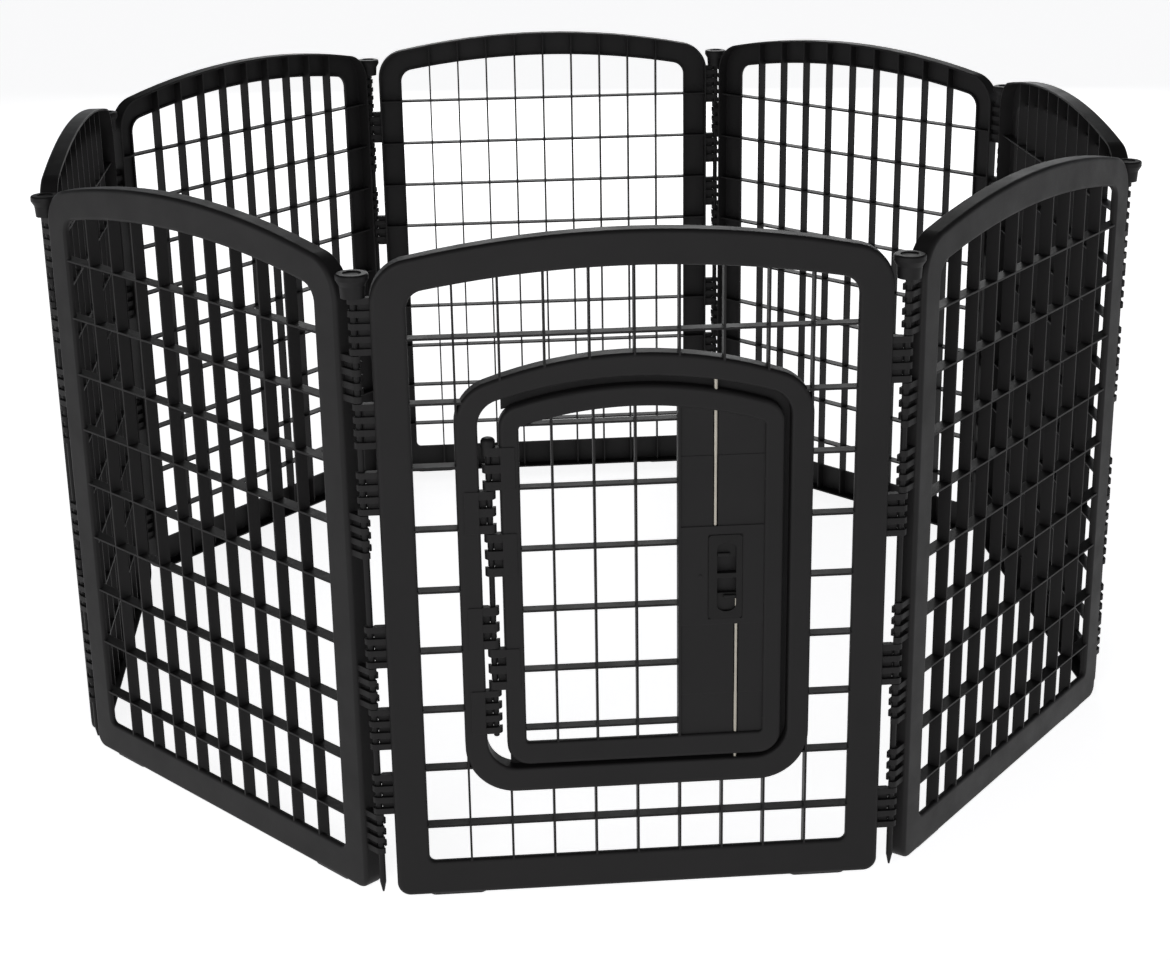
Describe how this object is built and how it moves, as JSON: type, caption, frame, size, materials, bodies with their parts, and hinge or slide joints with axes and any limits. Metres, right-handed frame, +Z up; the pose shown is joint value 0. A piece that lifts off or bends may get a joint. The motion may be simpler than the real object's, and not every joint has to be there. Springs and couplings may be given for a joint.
{
  "type": "pet playpen",
  "caption": "Ring of moulded grille panels joined by lift-out hinge rods, one panel with a latched swing door, for penning a small pet.",
  "frame": {"origin": "on the floor at the centre of the ring of panels, halfway between opposite panels", "axes": "+Z up from the floor; the panel with the door faces -Y, outwards; +X to the right of someone who faces the door from outside"},
  "size_m": [1.4966, 1.644, 0.834],
  "materials": {
    "panel_plastic": "satin charcoal-black moulded polypropylene",
    "rod_plastic": "satin black moulded plastic",
    "latch_plastic": "satin black moulded plastic",
    "bolt_steel": "drawn zinc-plated steel",
    "spring_steel": "drawn spring steel",
    "pad_rubber": "matt rubber"
  },
  "bodies": {
    "door_panel": {"door_panel": "panel_plastic", "foot_pads_1": "pad_rubber", "door_hinge_pin": "rod_plastic"},
    "panel_2": {"panel_2": "panel_plastic", "foot_pads_2": "pad_rubber"},
    "panel_3": {"panel_3": "panel_plastic", "foot_pads_3": "pad_rubber"},
    "panel_4": {"panel_4": "panel_plastic", "foot_pads_4": "pad_rubber"},
    "panel_5": {"panel_5": "panel_plastic", "foot_pads_5": "pad_rubber"},
    "panel_6": {"panel_6": "panel_plastic", "foot_pads_6": "pad_rubber"},
    "panel_7": {"panel_7": "panel_plastic", "foot_pads_7": "pad_rubber"},
    "panel_8": {"panel_8": "panel_plastic", "foot_pads_8": "pad_rubber"},
    "hinge_rod_1": {"hinge_rod_1": "rod_plastic"},
    "hinge_rod_2": {"hinge_rod_2": "rod_plastic"},
    "hinge_rod_3": {"hinge_rod_3": "rod_plastic"},
    "hinge_rod_4": {"hinge_rod_4": "rod_plastic"},
    "hinge_rod_5": {"hinge_rod_5": "rod_plastic"},
    "hinge_rod_6": {"hinge_rod_6": "rod_plastic"},
    "hinge_rod_7": {"hinge_rod_7": "rod_plastic"},
    "hinge_rod_8": {"hinge_rod_8": "rod_plastic"},
    "door": {"door_leaf": "panel_plastic", "latch_cover": "latch_plastic", "upper_latch_spring": "spring_steel", "lower_latch_spring": "spring_steel"},
    "upper_latch": {"upper_latch_slide": "latch_plastic", "upper_latch_bolt": "bolt_steel"},
    "lower_latch": {"lower_latch_slide": "latch_plastic", "lower_latch_bolt": "bolt_steel"}
  },
  "joints": [
    {"name": "panel_2_hinge", "type": "hinge", "parent": "door_panel", "child": "panel_2", "pos_m": [0.318, -0.80306, 0], "axis": [0, 0, 1], "range_deg": [-49.7, 40.3]},
    {"name": "panel_3_hinge", "type": "hinge", "parent": "panel_2", "child": "panel_3", "pos_m": [0.72936, -0.318, 0], "axis": [0, 0, 1], "range_deg": [-40.3, 49.7]},
    {"name": "panel_4_hinge", "type": "hinge", "parent": "panel_3", "child": "panel_4", "pos_m": [0.72936, 0.318, 0], "axis": [0, 0, 1], "range_deg": [-40.3, 49.7]},
    {"name": "panel_5_hinge", "type": "hinge", "parent": "panel_4", "child": "panel_5", "pos_m": [0.318, 0.80306, 0], "axis": [0, 0, 1], "range_deg": [-49.7, 40.3]},
    {"name": "panel_8_hinge", "type": "hinge", "parent": "door_panel", "child": "panel_8", "pos_m": [-0.318, -0.80306, 0], "axis": [0, 0, 1], "range_deg": [-40.3, 49.7]},
    {"name": "panel_7_hinge", "type": "hinge", "parent": "panel_8", "child": "panel_7", "pos_m": [-0.72936, -0.318, 0], "axis": [0, 0, 1], "range_deg": [-49.7, 40.3]},
    {"name": "panel_6_hinge", "type": "hinge", "parent": "panel_7", "child": "panel_6", "pos_m": [-0.72936, 0.318, 0], "axis": [0, 0, 1], "range_deg": [-49.7, 40.3]},
    {"name": "hinge_rod_1_lift", "type": "slide", "parent": "door_panel", "child": "hinge_rod_1", "axis": [0, 0, 1], "range_m": [0, 0.78]},
    {"name": "hinge_rod_2_lift", "type": "slide", "parent": "panel_2", "child": "hinge_rod_2", "axis": [0, 0, 1], "range_m": [0, 0.78]},
    {"name": "hinge_rod_3_lift", "type": "slide", "parent": "panel_3", "child": "hinge_rod_3", "axis": [0, 0, 1], "range_m": [0, 0.78]},
    {"name": "hinge_rod_4_lift", "type": "slide", "parent": "panel_4", "child": "hinge_rod_4", "axis": [0, 0, 1], "range_m": [0, 0.78]},
    {"name": "hinge_rod_5_lift", "type": "slide", "parent": "panel_5", "child": "hinge_rod_5", "axis": [0, 0, 1], "range_m": [0, 0.78]},
    {"name": "hinge_rod_6_lift", "type": "slide", "parent": "panel_6", "child": "hinge_rod_6", "axis": [0, 0, 1], "range_m": [0, 0.78]},
    {"name": "hinge_rod_7_lift", "type": "slide", "parent": "panel_7", "child": "hinge_rod_7", "axis": [0, 0, 1], "range_m": [0, 0.78]},
    {"name": "hinge_rod_8_lift", "type": "slide", "parent": "panel_8", "child": "hinge_rod_8", "axis": [0, 0, 1], "range_m": [0, 0.78]},
    {"name": "door_swing", "type": "hinge", "parent": "door_panel", "child": "door", "pos_m": [-0.1715, -0.80806, 0], "axis": [0, 0, -1], "range_deg": [0, 105]},
    {"name": "upper_latch_pull", "type": "slide", "parent": "door", "child": "upper_latch", "axis": [0, 0, -1], "range_m": [0, 0.014], "stiffness_N_per_m": 300, "springref_m": -0.01, "deforming": ["upper_latch_spring"]},
    {"name": "lower_latch_pull", "type": "slide", "parent": "door", "child": "lower_latch", "axis": [0, 0, 1], "range_m": [0, 0.014], "stiffness_N_per_m": 300, "springref_m": -0.01, "deforming": ["lower_latch_spring"]}
  ],
  "couplings": [
    {"joint": "panel_3_hinge", "follows": "panel_2_hinge", "ratio": -1},
    {"joint": "panel_4_hinge", "follows": "panel_2_hinge", "ratio": -1},
    {"joint": "panel_5_hinge", "follows": "panel_2_hinge", "ratio": 1},
    {"joint": "panel_8_hinge", "follows": "panel_2_hinge", "ratio": -1},
    {"joint": "panel_7_hinge", "follows": "panel_2_hinge", "ratio": 1},
    {"joint": "panel_6_hinge", "follows": "panel_2_hinge", "ratio": 1}
  ]
}
